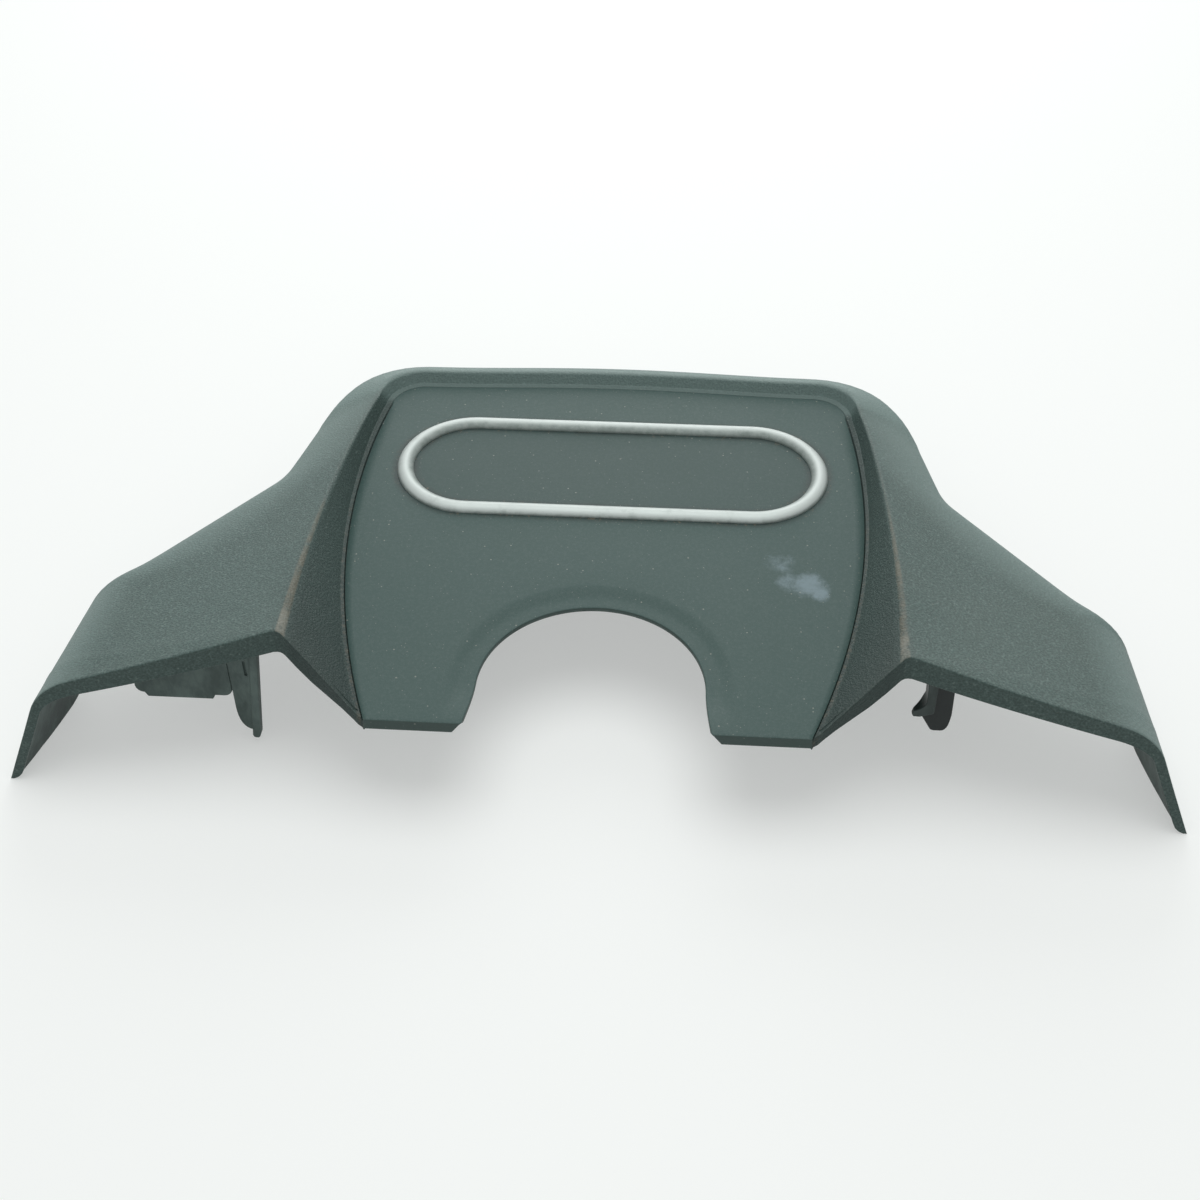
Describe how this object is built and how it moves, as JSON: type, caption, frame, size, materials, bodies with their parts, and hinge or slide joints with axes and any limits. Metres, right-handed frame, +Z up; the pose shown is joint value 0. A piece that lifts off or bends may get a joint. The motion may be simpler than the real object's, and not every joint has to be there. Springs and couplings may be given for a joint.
{
  "type": "engine cover",
  "caption": "Moulded trim cover with two swept wings, a sunk panel, a round front cut-out, a plain bright ring and push-on rubber grommets underneath.",
  "frame": {"origin": "middle of the bounding box in plan, on the plane that the wing tips and the rear seats stand on", "axes": "+X to the right along the span from wing tip to wing tip, +Y to the back rim, +Z up out of the panel's face"},
  "size_m": [0.5408, 0.2672, 0.0789],
  "materials": {
    "shell": "grained, dark grey",
    "ring": "satin silver paint",
    "grommet": "matt black"
  },
  "bodies": {
    "root": {"cover_shell": "shell", "trim_ring": "ring", "grommet_left_front": "grommet", "grommet_left_rear": "grommet", "grommet_right_rear": "grommet"}
  },
  "joints": []
}
